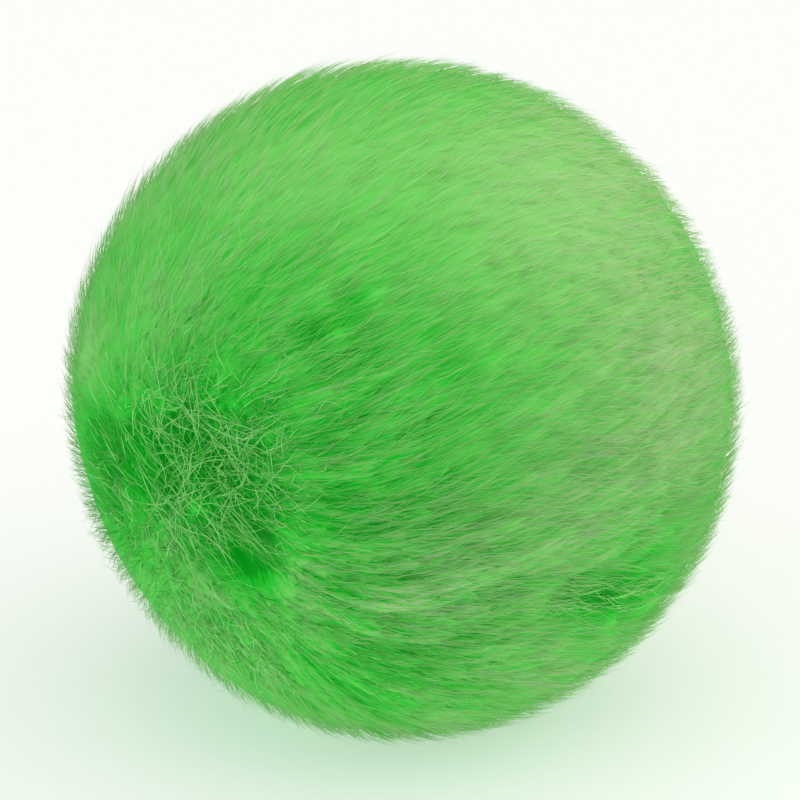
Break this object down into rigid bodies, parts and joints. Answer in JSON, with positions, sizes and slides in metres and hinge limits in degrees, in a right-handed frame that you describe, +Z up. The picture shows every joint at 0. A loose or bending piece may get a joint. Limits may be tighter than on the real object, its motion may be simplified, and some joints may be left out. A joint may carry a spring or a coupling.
{
  "type": "faux fur pom pom",
  "caption": "Round pom pom of long green faux fur, combed away from a crown towards the far side, resting on a small flat spot.",
  "frame": {"origin": "middle of the flat spot that the ball rests on, straight under the ball's centre", "axes": "+Z up from the surface, -X towards the crown of the fur, which lies low on that side and a little towards -Y"},
  "size_m": [0.1273, 0.1269, 0.1219],
  "materials": {
    "fur": "long soft acrylic pile, matt at the roots with a light sheen towards the tips"
  },
  "bodies": {
    "root": {"pom_pom": "fur"}
  },
  "joints": []
}
